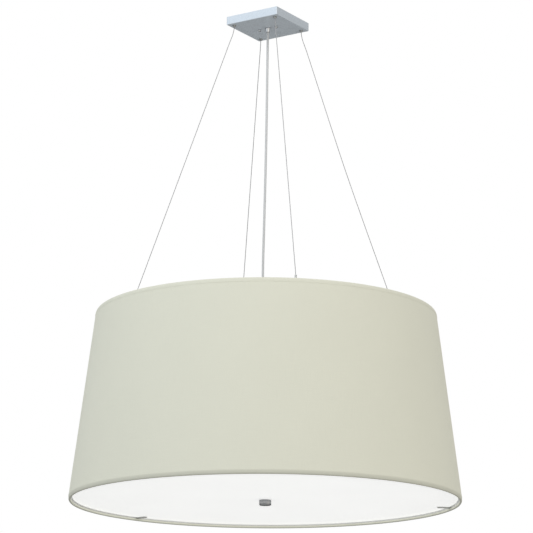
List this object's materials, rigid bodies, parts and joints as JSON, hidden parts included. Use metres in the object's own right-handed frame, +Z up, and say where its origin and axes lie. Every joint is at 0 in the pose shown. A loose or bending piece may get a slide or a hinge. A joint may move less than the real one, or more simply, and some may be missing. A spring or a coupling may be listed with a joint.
{
  "type": "drum chandelier",
  "caption": "Tapered fabric drum shade with a flat opal diffuser, hung by thin slanting wires and a cord from a square ceiling canopy.",
  "frame": {"origin": "middle of the ceiling plane that the canopy closes against, on the light's own axis; the whole light hangs below it", "axes": "+Z up along the light's axis; the canopy's sides run along X and Y, and the wires leave it on the diagonals"},
  "size_m": [0.7992, 0.7992, 1.0416],
  "materials": {
    "silver_paint": "semi-gloss silver-grey paint",
    "chrome": "polished",
    "zinc_plate": "dull zinc plating",
    "ground_green": "green dyed plating",
    "wire_steel": "bare stranded wire",
    "cord_jacket": "smooth silver-grey jacket",
    "linen": "fine plain weave",
    "lining": "smooth matt sheet",
    "frame_white": "white powder coat",
    "opal_acrylic": "satin opal sheet",
    "holder_white": "moulded, slightly glossy",
    "lamp_opal": "opal dome"
  },
  "bodies": {
    "fixture": {"canopy": "silver_paint", "ceiling_bar": "zinc_plate", "ground_screw": "ground_green", "cord_grip": "chrome", "cord_grip_nut": "zinc_plate", "wire_gripper_1": "zinc_plate", "wire_gripper_2": "zinc_plate", "wire_gripper_3": "zinc_plate", "wire_gripper_4": "zinc_plate", "gripper_nut_1": "zinc_plate", "gripper_nut_2": "zinc_plate", "gripper_nut_3": "zinc_plate", "gripper_nut_4": "zinc_plate", "suspension_wire_1": "wire_steel", "suspension_wire_2": "wire_steel", "suspension_wire_3": "wire_steel", "suspension_wire_4": "wire_steel", "power_cord": "cord_jacket", "shade_fabric": "linen", "shade_liner": "lining", "top_ring": "frame_white", "bottom_ring": "frame_white", "spider_arm_1": "frame_white", "spider_arm_2": "frame_white", "spider_arm_3": "frame_white", "spider_arm_4": "frame_white", "hub_plate": "frame_white", "wire_anchor_1": "zinc_plate", "wire_anchor_2": "zinc_plate", "wire_anchor_3": "zinc_plate", "wire_anchor_4": "zinc_plate", "stem": "frame_white", "stem_cap": "chrome", "stem_nut_top": "zinc_plate", "stem_nut_middle": "zinc_plate", "stem_nut_bottom": "zinc_plate", "stem_coupling": "chrome", "lower_stem": "zinc_plate", "cluster_body": "frame_white", "cluster_cover": "frame_white", "lampholder_1": "holder_white", "lampholder_2": "holder_white", "lampholder_3": "holder_white", "lampholder_4": "holder_white", "diffuser_tongue_1": "zinc_plate", "diffuser_tongue_2": "zinc_plate", "diffuser_tongue_3": "zinc_plate"},
    "plunger_1": {"gripper_plunger_1": "zinc_plate"},
    "plunger_2": {"gripper_plunger_2": "zinc_plate"},
    "plunger_3": {"gripper_plunger_3": "zinc_plate"},
    "plunger_4": {"gripper_plunger_4": "zinc_plate"},
    "cap_screw_1": {"canopy_screw_1": "chrome"},
    "cap_screw_2": {"canopy_screw_2": "chrome"},
    "lamp_bulb_1": {"lamp_1": "lamp_opal"},
    "lamp_bulb_2": {"lamp_2": "lamp_opal"},
    "lamp_bulb_3": {"lamp_3": "lamp_opal"},
    "lamp_bulb_4": {"lamp_4": "lamp_opal"},
    "diffuser_disc": {"diffuser": "opal_acrylic"},
    "finial_knob": {"finial": "chrome"}
  },
  "joints": [
    {"name": "plunger_1_press", "type": "slide", "parent": "fixture", "child": "plunger_1", "axis": [0, 0, 1], "range_m": [0, 0.002], "stiffness_N_per_m": 800, "springref_m": -0.002},
    {"name": "plunger_2_press", "type": "slide", "parent": "fixture", "child": "plunger_2", "axis": [0, 0, 1], "range_m": [0, 0.002], "stiffness_N_per_m": 800, "springref_m": -0.002},
    {"name": "plunger_3_press", "type": "slide", "parent": "fixture", "child": "plunger_3", "axis": [0, 0, 1], "range_m": [0, 0.002], "stiffness_N_per_m": 800, "springref_m": -0.002},
    {"name": "plunger_4_press", "type": "slide", "parent": "fixture", "child": "plunger_4", "axis": [0, 0, 1], "range_m": [0, 0.002], "stiffness_N_per_m": 800, "springref_m": -0.002},
    {"name": "canopy_screw_1_turn", "type": "hinge", "parent": "fixture", "child": "cap_screw_1", "pos_m": [0.021, 0, 0], "axis": [0, 0, 1], "continuous": true},
    {"name": "canopy_screw_2_turn", "type": "hinge", "parent": "fixture", "child": "cap_screw_2", "pos_m": [-0.021, 0, 0], "axis": [0, 0, 1], "continuous": true},
    {"name": "lamp_1_turn", "type": "hinge", "parent": "fixture", "child": "lamp_bulb_1", "pos_m": [0, 0, -0.8215], "axis": [1, 0, 0], "continuous": true},
    {"name": "lamp_2_turn", "type": "hinge", "parent": "fixture", "child": "lamp_bulb_2", "pos_m": [0, 0, -0.8215], "axis": [0, 1, 0], "continuous": true},
    {"name": "lamp_3_turn", "type": "hinge", "parent": "fixture", "child": "lamp_bulb_3", "pos_m": [0, 0, -0.8215], "axis": [-1, 0, 0], "continuous": true},
    {"name": "lamp_4_turn", "type": "hinge", "parent": "fixture", "child": "lamp_bulb_4", "pos_m": [0, 0, -0.8215], "axis": [0, -1, 0], "continuous": true},
    {"name": "diffuser_lift", "type": "slide", "parent": "fixture", "child": "diffuser_disc", "axis": [0, 0, 1], "range_m": [0, 0.012]},
    {"name": "finial_turn", "type": "hinge", "parent": "fixture", "child": "finial_knob", "pos_m": [0, 0, -1.0365], "axis": [0, 0, 1], "continuous": true}
  ]
}
